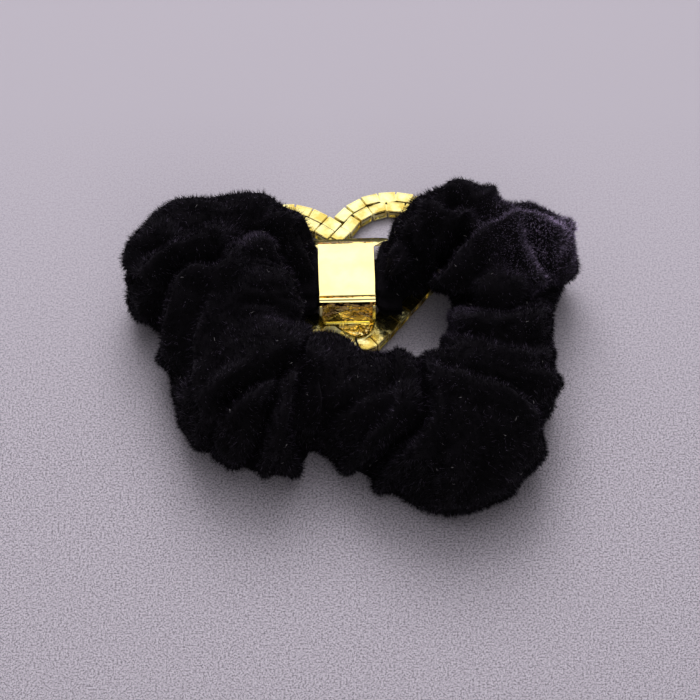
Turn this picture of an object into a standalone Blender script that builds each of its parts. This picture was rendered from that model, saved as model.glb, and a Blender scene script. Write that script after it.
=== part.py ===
"""A gathered velvet scrunchie whose back strand runs through the strap of an open-heart ornament.

Metres, +Z up, lying on its flat base with the ornament face down at the back (+Y).
Positions are drawn in the ring's own frame, whose origin is in the ponytail opening. The empty
scrunchie_base then moves everything, so that the world origin is the middle of the base.
"""

import math

import bmesh
import bpy
from mathutils import Matrix, Vector

BASE_CENTRE = (0.0, 0.0065, 0.0)

# Clearances
GAP = 0.0003
SEAM_GAP = 0.0012

# The velvet tube: spokes from the opening outwards, each
# (inner x, inner y, outer x, outer y, underside, top), anticlockwise from above.
BACK_RIGHT_SPOKES = (
    (0.0125, 0.0192, 0.0125, 0.0312, 0.0044, 0.0128),
    (0.0135, 0.0184, 0.0160, 0.0370, 0.0054, 0.0230),
    (0.0180, 0.0185, 0.0235, 0.0425, 0.0070, 0.0300),
    (0.0250, 0.0200, 0.0345, 0.0405, 0.0070, 0.0290),
    (0.0265, 0.0155, 0.0532, 0.0320, 0.0020, 0.0305),
    (0.0250, 0.0085, 0.0478, 0.0140, 0.0000, 0.0265),
    (0.0232, 0.0010, 0.0500, 0.0000, 0.0000, 0.0290),
)
FRONT_SPOKES = (
    (0.0232, 0.0010, 0.0500, 0.0000, 0.0000, 0.0290),
    (0.0205, -0.0055, 0.0475, -0.0180, 0.0000, 0.0275),
    (0.0145, -0.0088, 0.0400, -0.0370, 0.0000, 0.0310),
    (0.0095, -0.0078, 0.0240, -0.0445, 0.0000, 0.0305),
    (0.0040, -0.0045, 0.0060, -0.0350, 0.0000, 0.0265),
    (-0.0030, -0.0010, -0.0060, -0.0280, 0.0000, 0.0275),
    (-0.0080, 0.0005, -0.0170, -0.0330, 0.0000, 0.0265),
    (-0.0110, 0.0025, -0.0370, -0.0245, 0.0000, 0.0295),
    (-0.0130, 0.0058, -0.0425, -0.0035, 0.0000, 0.0315),
)
BACK_LEFT_SPOKES = (
    (-0.0130, 0.0058, -0.0425, -0.0035, 0.0000, 0.0315),
    (-0.0136, 0.0098, -0.0460, 0.0100, 0.0000, 0.0315),
    (-0.0145, 0.0138, -0.0532, 0.0230, 0.0010, 0.0320),
    (-0.0145, 0.0165, -0.0435, 0.0355, 0.0060, 0.0310),
    (-0.0140, 0.0180, -0.0240, 0.0395, 0.0070, 0.0300),
    (-0.0135, 0.0185, -0.0155, 0.0360, 0.0054, 0.0220),
    (-0.0125, 0.0192, -0.0125, 0.0312, 0.0044, 0.0128),
)
STEPS_PER_SPOKE = 2
SECTION_POINTS = 16
VELVET_WALL = 0.0015
UNDERSIDE_FLATNESS = 0.12

# The neck: the strand squeezed flat inside the strap
NECK_Y = 0.0250
NECK_Z = 0.0085
NECK_LENGTH = 0.0175
NECK_WIDTH = 0.0110
NECK_HEIGHT = 0.0050
NECK_WALL = 0.0010

# The elastic loop inside the tube, its ends overlapped in the front of the ring
ELASTIC_WIDTH = 0.0040
ELASTIC_THICKNESS = 0.0010
ELASTIC_HEIGHT = 0.0041
ELASTIC_SHARE_ACROSS = 0.47
LAP_RISE = 0.0016
LAP_STATIONS = 3
JOIN_THREAD_RADIUS = 0.00022
JOIN_THREAD_TURNS = 4
CLOSING_THREAD_RADIUS = 0.0002
CLOSING_STITCHES = 20

# The open heart, in its own frame: two lobe circles, straight legs, rounded tip
HEART_CENTRE = (-0.0022, 0.0397)
HEART_YAW = math.radians(8.5)
LOBE_OFFSET = 0.0130
LOBE_RADIUS = 0.0130
LEG_ANGLE = math.radians(45.5)
TIP_RADIUS = 0.0062
VALLEY_HEADING = math.radians(225)
CROSSING_TAIL = 0.0064

# Its rows of stone cups, face down
ROW_PITCH = 0.0031
ROW_WIDTH = 0.0028
ROW_WALL = 0.0003
ROW_FLOOR = 0.0005
ROW_FRONT_Z = 0.0004
ROW_BACK_Z = 0.0031
ROW_STEP = 0.0021
STONE_PITCH = 0.0042
STONE_LENGTH = 0.0034
STONE_WIDTH = 0.0018
STONE_TABLE_Z = 0.0
STONE_GIRDLE_Z = 0.0018
STONE_TABLE_SHARE = 0.7
BED_HALF_WIDTH = 0.0007
BED_Z = (0.0016, 0.0024)

# The bridge plate on the heart's back and the strap on it
BRIDGE_Z = (0.0034, 0.0040)
BRIDGE_OUTLINE = (
    (-0.0094, 0.0172),
    (0.0094, 0.0176),
    (0.0086, 0.0152),
    (0.0062, 0.0140),
    (0.0064, -0.0090),
    (0.0048, -0.0124),
    (0.0022, -0.0132),
    (0.0002, -0.0124),
    (-0.0030, -0.0098),
    (-0.0062, -0.0085),
    (-0.0062, 0.0140),
    (-0.0086, 0.0150),
)
STRAP_YAW = math.radians(1.6)
STRAP_LENGTH = 0.0194
STRAP_WIDTH = 0.0134
STRAP_Z = (0.0043, 0.0129)
STRAP_SHEET = 0.0008
STRAP_CORNER = 0.0012
CORNER_STEPS = 4


def clear_scene():
    for obj in list(bpy.data.objects):
        bpy.data.objects.remove(obj, do_unlink=True)


def new_collection(name):
    collection = bpy.data.collections.new(name)
    bpy.context.scene.collection.children.link(collection)
    return collection


def new_material(name, colour, roughness, metallic=0.0):
    material = bpy.data.materials.new(name)
    material.use_nodes = True
    shader = material.node_tree.nodes["Principled BSDF"]
    shader.inputs["Base Color"].default_value = (*colour, 1.0)
    shader.inputs["Roughness"].default_value = roughness
    shader.inputs["Metallic"].default_value = metallic
    return material


def new_empty(name, location, yaw=0.0, parent=None):
    empty = bpy.data.objects.new(name, None)
    PARTS.objects.link(empty)
    empty.location = location
    empty.rotation_euler.z = yaw
    empty.parent = parent
    return empty


def place(name, mesh, material, parent, drawn_in):
    """An object of this mesh under its parent empty; drawn_in is the empty whose frame it is drawn in."""
    obj = bpy.data.objects.new(name, mesh)
    PARTS.objects.link(obj)
    obj.data.materials.append(material)
    bpy.context.view_layer.update()
    obj.parent = parent
    obj.matrix_parent_inverse = parent.matrix_world.inverted() @ drawn_in.matrix_world
    return obj


def mesh_of(bm, smooth=False):
    bmesh.ops.recalc_face_normals(bm, faces=bm.faces)
    mesh = bpy.data.meshes.new("mesh")
    bm.to_mesh(mesh)
    bm.free()
    if smooth:
        mesh.shade_smooth()
        mesh.set_sharp_from_angle(angle=math.radians(50))
    return mesh


def bridge_loops(bm, first, second):
    count = len(first)
    for i in range(count):
        j = (i + 1) % count
        bm.faces.new((first[i], first[j], second[j], second[i]))


def loft(sections):
    """A solid through a row of closed point loops, capped at both ends."""
    bm = bmesh.new()
    loops = [[bm.verts.new(point) for point in section] for section in sections]
    for first, second in zip(loops, loops[1:]):
        bridge_loops(bm, first, second)
    bm.faces.new(loops[0])
    bm.faces.new(loops[-1])
    return bm


def shell_loft(outer_sections, inner_sections):
    """A tube wall between two lofts, open at both ends."""
    bm = bmesh.new()
    outer = [[bm.verts.new(point) for point in section] for section in outer_sections]
    inner = [[bm.verts.new(point) for point in section] for section in inner_sections]
    for loops in (outer, inner):
        for first, second in zip(loops, loops[1:]):
            bridge_loops(bm, first, second)
    bridge_loops(bm, outer[0], inner[0])
    bridge_loops(bm, outer[-1], inner[-1])
    return bm


def catmull_rom(before, start, end, after, t):
    """A point between start and end on the smooth curve through four values."""
    return tuple(
        0.5 * (2 * b + (c - a) * t + (2 * a - 5 * b + 4 * c - d) * t**2 + (3 * b - a - 3 * c + d) * t**3)
        for a, b, c, d in zip(before, start, end, after)
    )


def spoke_stations(spokes):
    """The spokes with the in-between ones, as a smooth run."""
    ends = (spokes[0], *spokes, spokes[-1])
    stations = []
    for i in range(1, len(ends) - 2):
        for step in range(STEPS_PER_SPOKE):
            stations.append(catmull_rom(*ends[i - 1 : i + 3], step / STEPS_PER_SPOKE))
    stations.append(spokes[-1])
    return stations


def spoke_section(spoke, inset):
    """The closed loop of points round a strand at one spoke, its underside flattened, drawn in by inset."""
    inner, outer = Vector(spoke[0:2]), Vector(spoke[2:4])
    underside, top = max(0.0, spoke[4]) + inset, spoke[5] - inset
    middle = (inner + outer) / 2
    across = (outer - inner) / 2
    across *= 1 - inset / across.length
    sunk = underside - UNDERSIDE_FLATNESS * (top - underside)
    centre_z, half_height = (sunk + top) / 2, (top - sunk) / 2
    points = []
    for i in range(SECTION_POINTS):
        angle = 2 * math.pi * i / SECTION_POINTS
        place_xy = middle + across * math.cos(angle)
        height = max(underside, centre_z + half_height * math.sin(angle))
        points.append((place_xy.x, place_xy.y, height))
    return points


def moved_along(spoke, other, distance):
    """The spoke shifted by a distance towards its neighbour."""
    middles = [Vector(((s[0] + s[2]) / 2, (s[1] + s[3]) / 2)) for s in (spoke, other)]
    share = distance / (middles[1] - middles[0]).length
    return tuple(a + (b - a) * share for a, b in zip(spoke, other))


def velvet_strand(name, spokes, start_gap, end_gap):
    """One length of the velvet tube, shortened by a gap at each end."""
    stations = spoke_stations(spokes)
    stations[0] = moved_along(stations[0], stations[1], start_gap)
    stations[-1] = moved_along(stations[-1], stations[-2], end_gap)
    outer = [spoke_section(station, 0.0) for station in stations]
    inner = [spoke_section(station, VELVET_WALL) for station in stations]
    return place(name, mesh_of(shell_loft(outer, inner), smooth=True), VELVET, RING, RING)


def ellipse_section(x, half_width, half_height):
    turns = [2 * math.pi * i / SECTION_POINTS for i in range(SECTION_POINTS)]
    return [(x, NECK_Y + half_width * math.cos(a), NECK_Z + half_height * math.sin(a)) for a in turns]


def velvet_neck():
    """The strand as the strap squeezes it: a short flat tube across the ornament."""
    half = NECK_LENGTH / 2
    width, height = NECK_WIDTH / 2, NECK_HEIGHT / 2
    places = [half * share for share in (-1.0, -0.5, 0.0, 0.5, 1.0)]
    outer = [ellipse_section(x, width, height) for x in places]
    inner = [ellipse_section(x, width - NECK_WALL, height - NECK_WALL) for x in places]
    return place("velvet_neck", mesh_of(shell_loft(outer, inner), smooth=True), VELVET, NECK_SLIDE, RING)


def elastic_centres():
    """The elastic's middle line once round the ring, low in the tube, from the front through the neck."""
    front = spoke_stations(FRONT_SPOKES)
    half = len(front) // 2
    run = front[half:] + spoke_stations(BACK_LEFT_SPOKES)[1:]
    run += spoke_stations(BACK_RIGHT_SPOKES) + front[1 : half + 1]
    centres = []
    for spoke in run:
        across = Vector(spoke[0:2]).lerp(Vector(spoke[2:4]), ELASTIC_SHARE_ACROSS)
        centres.append(Vector((across.x, across.y, spoke[4] + ELASTIC_HEIGHT)))
    return centres


def lapped_elastic_path():
    """The middle line with its last stretch raised over the first, so that the ends overlap."""
    path = elastic_centres()
    rise = Vector((0, 0, LAP_RISE))
    return path[:-1] + [point + rise for point in path[:LAP_STATIONS]]


def flat_section(path, i, half_width, half_height):
    """A rectangle round path point i, level across and square to the path as seen from above."""
    along = path[min(i + 1, len(path) - 1)] - path[max(i - 1, 0)]
    across = Vector((along.y, -along.x, 0)).normalized() * half_width
    up = Vector((0, 0, half_height))
    return [path[i] + across + up, path[i] - across + up, path[i] - across - up, path[i] + across - up]


def elastic_band():
    path = lapped_elastic_path()
    sizes = (ELASTIC_WIDTH / 2, ELASTIC_THICKNESS / 2)
    sections = [flat_section(path, i, *sizes) for i in range(len(path))]
    return place("elastic_band", mesh_of(loft(sections)), ELASTIC, RING, RING)


def wire(name, points, radius, cyclic, material, parent):
    """A thread through these points, as a mesh with welded caps."""
    curve = bpy.data.curves.new(name, "CURVE")
    curve.dimensions = "3D"
    curve.bevel_depth = radius
    curve.bevel_resolution = 1
    curve.use_fill_caps = not cyclic
    spline = curve.splines.new("POLY")
    spline.points.add(len(points) - 1)
    for target, point in zip(spline.points, points):
        target.co = (*point, 1.0)
    spline.use_cyclic_u = cyclic
    guide = bpy.data.objects.new(name + "_guide", curve)
    PARTS.objects.link(guide)
    bpy.context.view_layer.update()
    mesh = bpy.data.meshes.new_from_object(guide.evaluated_get(bpy.context.evaluated_depsgraph_get()))
    bpy.data.objects.remove(guide, do_unlink=True)
    bm = bmesh.new()
    bm.from_mesh(mesh)
    bmesh.ops.remove_doubles(bm, verts=bm.verts, dist=radius / 100)
    return place(name, mesh_of(bm, smooth=True), material, parent, RING)


def elastic_join_thread():
    """The thread wound round the elastic's two overlapped ends."""
    path = lapped_elastic_path()
    stretch = path[1] - path[0]
    across = Vector((stretch.y, -stretch.x, 0)).normalized()
    clear = JOIN_THREAD_RADIUS + 2 * GAP
    half_width = ELASTIC_WIDTH / 2 + clear
    low = -ELASTIC_THICKNESS / 2 - clear
    high = LAP_RISE + ELASTIC_THICKNESS / 2 + clear
    corners = ((1, low), (1, high), (-1, high), (-1, low))
    steps = JOIN_THREAD_TURNS * len(corners)
    points = []
    for step in range(steps):
        side, height = corners[step % len(corners)]
        centre = path[0] + stretch * (0.15 + 0.7 * step / steps)
        points.append(centre + across * side * half_width + Vector((0, 0, height)))
    return wire("elastic_join_thread", points, JOIN_THREAD_RADIUS, False, THREAD, RING)


def closing_seam_thread():
    """The overcast stitch round the tube's closing seam, in the gap between two lengths of the tube."""
    spoke = FRONT_SPOKES[-1]
    wall_loop = [Vector(p) for p in spoke_section(spoke, VELVET_WALL / 2)]
    centre = sum(wall_loop, Vector()) / len(wall_loop)
    lengths = len(wall_loop)
    points = []
    for i in range(2 * CLOSING_STITCHES):
        position = lengths * i / (2 * CLOSING_STITCHES)
        near, share = int(position), position % 1
        on_wall = wall_loop[near].lerp(wall_loop[(near + 1) % lengths], share)
        outwards = (on_wall - centre).normalized()
        points.append(on_wall + outwards * VELVET_WALL * 0.3 * (1 if i % 2 else -1))
    return wire("closing_seam_thread", points, CLOSING_THREAD_RADIUS, True, THREAD, FRONT_SLIDE)


def heart_point(distance, offset):
    """Place and heading this far from the tip along the right half, on the line offset inwards."""
    tip_radius, lobe_radius = TIP_RADIUS - offset, LOBE_RADIUS - offset
    normal = Vector((math.sin(LEG_ANGLE), -math.cos(LEG_ANGLE)))
    tip_centre = Vector((0, -(LOBE_OFFSET * normal.x + LOBE_RADIUS - TIP_RADIUS) / -normal.y))
    lobe_centre = Vector((LOBE_OFFSET, 0))
    leg = Vector((math.cos(LEG_ANGLE), math.sin(LEG_ANGLE)))
    leg_length = (lobe_centre - tip_centre).dot(leg)
    if distance < tip_radius * LEG_ANGLE:
        heading = distance / tip_radius
        return tip_centre + tip_radius * Vector((math.sin(heading), -math.cos(heading))), heading
    distance -= tip_radius * LEG_ANGLE
    if distance < leg_length:
        return tip_centre + tip_radius * normal + leg * distance, LEG_ANGLE
    distance -= leg_length
    heading = min(VALLEY_HEADING, LEG_ANGLE + distance / lobe_radius)
    distance -= (heading - LEG_ANGLE) * lobe_radius
    on_lobe = lobe_centre + lobe_radius * Vector((math.sin(heading), -math.cos(heading)))
    return on_lobe + distance * Vector((math.cos(heading), math.sin(heading))), heading


def distance_to_stub(offset):
    """From the tip to where the lobe ends and the straight stub at the valley begins."""
    leg_length = LOBE_OFFSET * math.cos(LEG_ANGLE)
    tip_drop = (LOBE_OFFSET * math.sin(LEG_ANGLE) + LOBE_RADIUS - TIP_RADIUS) / math.cos(LEG_ANGLE)
    leg_length += tip_drop * math.sin(LEG_ANGLE)
    tip = (TIP_RADIUS - offset) * LEG_ANGLE
    lobe = (LOBE_RADIUS - offset) * (VALLEY_HEADING - LEG_ANGLE)
    return tip + leg_length + lobe


def row_length(side, offset):
    """Each row's own length: three end against a crossing row, the right inner one runs on past it."""
    to_crossing = LOBE_OFFSET * math.sqrt(2) - LOBE_RADIUS
    half_row = ROW_WIDTH / 2
    if side < 0:
        stub = to_crossing + ROW_PITCH / 2 - half_row - GAP
    elif offset < 0:
        stub = to_crossing - ROW_PITCH / 2 - half_row - GAP
    else:
        stub = to_crossing + CROSSING_TAIL
    return distance_to_stub(offset) + stub


def row_sections(side, offset, start, end, profile):
    """The profile's points (across the row, height) at even steps along a row."""
    steps = max(2, round((end - start) / ROW_STEP))
    sections = []
    for i in range(steps + 1):
        point, heading = heart_point(start + (end - start) * i / steps, offset)
        across = Vector((-math.sin(heading), math.cos(heading)))
        spots = [(point + across * shift, height) for shift, height in profile]
        sections.append([(side * spot.x, spot.y, height) for spot, height in spots])
    return sections


def channel_profile():
    """A cup row's section: a floor at the back and a wall at each side, open to the front."""
    half = ROW_WIDTH / 2
    inside = half - ROW_WALL
    floor = ROW_BACK_Z - ROW_FLOOR
    return (
        (-half, ROW_BACK_Z),
        (half, ROW_BACK_Z),
        (half, ROW_FRONT_Z),
        (inside, ROW_FRONT_Z),
        (inside, floor),
        (-inside, floor),
        (-inside, ROW_FRONT_Z),
        (-half, ROW_FRONT_Z),
    )


def heart_row(name, side, offset):
    sections = row_sections(side, offset, GAP / 2, row_length(side, offset), channel_profile())
    return place(name, mesh_of(loft(sections)), GOLD, ORNAMENT_AXIS, HEART)


def add_stone(bm, side, offset, distance):
    """One step-cut stone, a block whose front narrows to a flat table, midway between its row and chord."""
    on_row, heading = heart_point(distance, offset)
    chord = [heart_point(distance + STONE_LENGTH * share, offset)[0] for share in (-0.5, 0.5)]
    point = (2 * on_row + chord[0] + chord[1]) / 4
    turn = heading if side > 0 else math.pi - heading
    height = STONE_GIRDLE_Z - STONE_TABLE_Z
    where = Vector((side * point.x, point.y, STONE_TABLE_Z + height / 2))
    stone = bmesh.ops.create_cube(bm, size=1.0)["verts"]
    for vert in stone:
        if vert.co.z < 0:
            vert.co.xy *= STONE_TABLE_SHARE
    bmesh.ops.scale(bm, vec=(STONE_LENGTH, STONE_WIDTH, height), verts=stone)
    bmesh.ops.transform(bm, matrix=Matrix.Translation(where) @ Matrix.Rotation(turn, 4, "Z"), verts=stone)


def stone_run(name, side, offset, first, last, count):
    """The stones first to last of a row of count, on the adhesive bed that holds them."""
    length = row_length(side, offset)
    pitch = (length - GAP / 2) / count
    start = GAP / 2 + pitch * first
    end = GAP / 2 + pitch * last
    margin = (pitch - STONE_LENGTH) / 2 + GAP
    profile = [(BED_HALF_WIDTH * x, BED_Z[z]) for x, z in ((-1, 0), (1, 0), (1, 1), (-1, 1))]
    bed = row_sections(side, offset, start + margin, end - margin, profile)
    run = place(name, mesh_of(loft(bed)), GLASS, ORNAMENT_AXIS, HEART)
    bm = bmesh.new()
    for i in range(first, last):
        add_stone(bm, side, offset, GAP / 2 + pitch * (i + 0.5))
    cutter = bpy.data.objects.new(name + "_stones", mesh_of(bm))
    CUTTERS.objects.link(cutter)
    cutter.hide_render = True
    cutter.display_type = "WIRE"
    bpy.context.view_layer.update()
    cutter.matrix_world = HEART.matrix_world
    join = run.modifiers.new("stones", "BOOLEAN")
    join.operation = "UNION"
    join.object = cutter
    return run


def heart_rows():
    """Four rows of cups, and their stones in a lobe run and a leg run each."""
    for side_name, side in (("right", 1), ("left", -1)):
        for row_name, offset in (("outer", -ROW_PITCH / 2), ("inner", ROW_PITCH / 2)):
            label = f"{side_name}_{row_name}"
            heart_row(f"heart_row_{label}", side, offset)
            count = round(row_length(side, offset) / STONE_PITCH)
            half = count // 2
            stone_run(f"stones_{label}_leg", side, offset, 0, half, count)
            stone_run(f"stones_{label}_lobe", side, offset, half, count, count)


def bridge_plate():
    """The thin plate soldered across the heart's back, from the valley to the tip."""
    sections = [[(x, y, z) for x, y in BRIDGE_OUTLINE] for z in BRIDGE_Z]
    return place("bridge_plate", mesh_of(loft(sections)), GOLD, ORNAMENT_AXIS, STRAP_FRAME)


def rounded_rectangle(width, height, radius):
    """The outline's points about its centre, anticlockwise, with arcs at the corners."""
    points = []
    for quarter, (sx, sy) in enumerate(((1, 1), (-1, 1), (-1, -1), (1, -1))):
        corner = Vector((sx * (width / 2 - radius), sy * (height / 2 - radius)))
        for step in range(CORNER_STEPS + 1):
            angle = math.pi / 2 * (quarter + step / CORNER_STEPS)
            points.append(corner + radius * Vector((math.cos(angle), math.sin(angle))))
    return points


def strap():
    """The sheet loop that holds the strand: a rectangular sleeve open at both sides."""
    bottom, top = STRAP_Z
    middle = (bottom + top) / 2
    loops = []
    for inset in (0.0, STRAP_SHEET):
        outline = rounded_rectangle(
            STRAP_LENGTH - 2 * inset, top - bottom - 2 * inset, STRAP_CORNER - inset
        )
        ends = (-STRAP_WIDTH / 2, STRAP_WIDTH / 2)
        loops.append([[(x, point.x, middle + point.y) for point in outline] for x in ends])
    return place("strap", mesh_of(shell_loft(*loops), smooth=True), GOLD, ORNAMENT_AXIS, STRAP_FRAME)


def velvet_ring():
    velvet_strand("velvet_back_right", BACK_RIGHT_SPOKES, 0.0, GAP)
    velvet_strand("velvet_front", FRONT_SPOKES, GAP, SEAM_GAP / 2)
    velvet_strand("velvet_back_left", BACK_LEFT_SPOKES, SEAM_GAP / 2, 0.0)
    bpy.data.objects["velvet_front"].parent = FRONT_SLIDE


clear_scene()
PARTS = new_collection("scrunchie")
CUTTERS = new_collection("cutters")

VELVET = new_material("velvet", (0.012, 0.011, 0.016), 0.95)
ELASTIC = new_material("elastic", (0.03, 0.03, 0.03), 0.8)
THREAD = new_material("thread", (0.02, 0.02, 0.02), 0.7)
GOLD = new_material("gold", (0.90, 0.68, 0.20), 0.18, metallic=1.0)
GLASS = new_material("stones", (0.85, 0.87, 0.90), 0.05)

RING = new_empty("scrunchie_base", [-value for value in BASE_CENTRE])
FRONT_SLIDE = new_empty("front_slide", (0, 0, 0), parent=RING)
NECK_SLIDE = new_empty("neck_slide", (0, NECK_Y, NECK_Z), parent=RING)
ORNAMENT_AXIS = new_empty("ornament_roll_axis", (0, NECK_Y, NECK_Z), parent=RING)
HEART = new_empty("heart_frame", (*HEART_CENTRE, 0), HEART_YAW, parent=RING)
STRAP_FRAME = new_empty("strap_frame", (0, NECK_Y, 0), STRAP_YAW, parent=RING)

velvet_ring()
velvet_neck()
elastic_band()
elastic_join_thread()
closing_seam_thread()
heart_rows()
bridge_plate()
strap()
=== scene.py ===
"""The looks of the velvet scrunchie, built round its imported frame.

Metres, +Z up. Lists of places are in millimetres in the ring's frame, whose origin lies in the
ponytail opening, RING_TO_NECK in front of the neck that the frame's velvet_neck node gives.
"""

import math

import bmesh
import bpy
import numpy as np
from mathutils import Matrix, Vector, noise


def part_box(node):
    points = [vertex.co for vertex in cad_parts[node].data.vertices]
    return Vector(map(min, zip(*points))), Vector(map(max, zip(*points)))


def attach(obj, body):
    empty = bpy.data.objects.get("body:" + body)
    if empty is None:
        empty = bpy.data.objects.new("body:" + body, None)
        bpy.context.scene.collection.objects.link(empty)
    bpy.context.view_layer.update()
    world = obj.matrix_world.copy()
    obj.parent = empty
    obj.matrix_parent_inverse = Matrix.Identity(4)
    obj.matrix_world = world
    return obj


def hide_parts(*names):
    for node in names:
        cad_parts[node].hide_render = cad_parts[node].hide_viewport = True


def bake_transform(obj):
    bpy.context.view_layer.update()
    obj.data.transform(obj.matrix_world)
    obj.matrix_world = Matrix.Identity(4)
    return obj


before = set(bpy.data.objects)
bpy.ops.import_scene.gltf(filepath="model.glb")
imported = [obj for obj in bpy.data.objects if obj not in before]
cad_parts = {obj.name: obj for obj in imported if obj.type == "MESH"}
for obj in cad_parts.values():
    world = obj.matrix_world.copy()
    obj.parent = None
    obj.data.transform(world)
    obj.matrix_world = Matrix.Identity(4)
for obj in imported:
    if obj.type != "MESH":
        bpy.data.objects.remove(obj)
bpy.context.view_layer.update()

MM = 0.001
RNG = np.random.default_rng(7)


def centre_of(node):
    low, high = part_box(node)
    return (low + high) / 2


NECK = centre_of("velvet_neck")
RING_TO_NECK = 0.025
RING_ORIGIN = Vector((NECK.x, NECK.y - RING_TO_NECK, 0.0))

# The floor's grain fades between these two lines across it
GRAIN_FULL_Y = -0.03
GRAIN_GONE_Y = 0.08

# The camera looks down at the ring from the front
VIEW_ELEVATION = math.radians(52)
VIEW_TARGET = RING_ORIGIN + Vector((0.0005, 0.0109, 0.0))
VIEW_WIDTH = 0.168
LENS_MM = 300.0
SENSOR_MM = 36.0

# The cover: spokes from the opening outwards, (inner x, y, outer x, y, underside, top), from the
# strap's right side round the front to its left side
SPOKES = (
    (10.3, 18.5, 10.3, 34.5, 4.7, 13),
    (12.5, 20.3, 13, 37, 5.2, 23),
    (15.5, 22.8, 21, 40.5, 6.5, 28.5),
    (20.5, 26.5, 29, 41.2, 8, 29.5),
    (23.3, 23.3, 37, 38, 6, 27.5),
    (24.8, 18.5, 46.5, 36.5, 2, 30.5),
    (25.6, 14, 53.5, 29, 1, 30.5),
    (25.6, 9.5, 46.2, 15.5, 0.3, 26),
    (25, 6, 47, 8, 0.3, 27.5),
    (23.8, 1, 48, 0, 0.3, 28),
    (21.5, -4.5, 47.2, -12, 0.3, 26.5),
    (18.5, -7.5, 44.5, -24, 0.3, 29.5),
    (14.5, -8.8, 38.5, -35, 0.3, 31),
    (10.5, -8, 25, -41, 0.3, 30),
    (6.5, -6, 12, -34.5, 0.3, 28),
    (3, -4, 4, -30.5, 0.3, 26),
    (-1, -1, -2.5, -25.5, 0.3, 27),
    (-5, 0.3, -7.5, -23, 0.3, 26.5),
    (-7.5, 0.8, -13.5, -29.8, 0.3, 26),
    (-9.5, 1.5, -22, -29.5, 0.3, 28),
    (-11, 2.5, -36.5, -22.5, 0.3, 29),
    (-12, 4, -39.2, -12.5, 0.3, 29),
    (-13, 6, -41.3, -3.5, 0.3, 31),
    (-13.3, 8, -43.8, 3.5, 0.3, 32),
    (-13.6, 10, -44.8, 10.5, 0.3, 32),
    (-14, 12.5, -49.3, 16.5, 0.5, 31.5),
    (-14.5, 14.5, -52.6, 23.5, 1, 31),
    (-14.5, 16, -48.3, 29.6, 3, 31),
    (-14.5, 16.5, -40, 36.6, 6, 30),
    (-14, 17.5, -28, 37, 6, 29.7),
    (-13.5, 18.5, -19, 38.5, 6, 28.5),
    (-12, 19, -13, 36, 5.2, 20),
    (-10.3, 18.5, -10.3, 34.5, 4.7, 13),
)
COVER_STATIONS = 264
COVER_ROUND = 72
STRAND_LENGTH = 250.0
UNDERSIDE_FLATNESS = 0.10
FULLNESS = 0.86

# Creases, as strokes seen along the camera's line: (depth, width, ((across, up), ...)), all in mm
CREASES = (
    (5.4, 1.7, ((-31.9, 29.9), (-40.3, 27.7), (-43, 20.8), (-44.1, 10.9))),
    (1.3, 1.5, ((-22.8, 35.8), (-28.9, 31.5), (-33.1, 23.1), (-35.7, 17), (-37.6, 10.9), (-38.4, 1.8))),
    (5.1, 1.7, ((-31.9, 29.9), (-27, 36), (-21.3, 38.4), (-16, 34.5), (-13.7, 27.7), (-11.4, 21.6))),
    (0.8, 1.3, ((-24, 30), (-29, 22), (-31, 14), (-31, 6))),
    (4.4, 1.6, ((-10.7, 7.9), (-16.7, 4.1), (-23.6, 0.3), (-28.9, -3.5))),
    (4.4, 1.5, ((-14.5, 4.1), (-16.8, -1.2), (-19, -7.3), (-22.5, -17.2), (-24, -21))),
    (1.8, 1.3, ((-26, -1), (-31, -8), (-33, -15))),
    (4.9, 1.6, ((-10.7, 4.3), (-11.4, -7.3), (-9.9, -14.9), (-7.6, -19.7))),
    (5.4, 1.7, ((16.7, 5.9), (17.5, -1.2), (16.7, -7.3), (11.4, -13.4), (5.3, -19.5), (0, -23))),
    (1.4, 1.4, ((-3.1, -5.8), (1.5, -2.7), (7.6, 0.3), (13.7, 1.8))),
    (1.1, 1.4, ((22.4, 4.9), (22.8, -4.3), (22, -14.9), (19, -22))),
    (0.7, 1.4, ((30, 1), (31.5, -8), (30, -18))),
    (5.9, 1.8, ((21.3, 6.4), (31.1, 4.1), (39.5, 1), (45.4, -4.5), (47.3, -13.4))),
    (1, 1.5, ((23.1, 12.2), (35.7, 9.9), (49.1, 10.7))),
    (1.3, 1.5, ((24.1, 8.9), (38.7, 5.1), (51.1, 5.1))),
    (4.1, 1.8, ((21, 22.1), (28.1, 20.4), (36.5, 19.8), (48.1, 22.1), (52, 24))),
    (5.9, 1.7, ((21, 25), (23.5, 29.4), (28.1, 35.9), (35.7, 40.6), (42.5, 42.4), (48.4, 40.7))),
    (2.4, 1.5, ((42.5, 37), (45.6, 29.4), (47.6, 24.1))),
    (1, 1.4, ((31, 33), (32, 28), (29, 24))),
    (1.8, 1.5, ((24.3, 42.3), (25.1, 34.7), (21.8, 28.7), (17, 25))),
    (1.6, 1.5, ((13.5, 35), (16.2, 30), (13.4, 24.1))),
    (2.4, 1.5, ((19, 46.5), (28, 42.6), (35.5, 40.3))),
    (2.6, 1.6, ((-40, 38), (-32, 38.5), (-24, 41), (-15, 42.5))),
    (2, 1.5, ((-48, 32), (-42, 34), (-34, 34.5))),
    (2.4, 1.5, ((-52, 26), (-46, 22), (-46, 14))),
)
SHOULDER = 0.40
BACK_PLEATS = 26
BACK_PLEAT_DEPTH = 2.2
BACK_PLEAT_WIDTH = 1.6
MOUTH_PLEATS = 9
MOUTH_PLEAT_DEPTH = 1.1
MOUTH_REACH = 12.0
RIPPLE_SIZE = 7.0
RIPPLE_HEIGHT = 0.45

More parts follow.
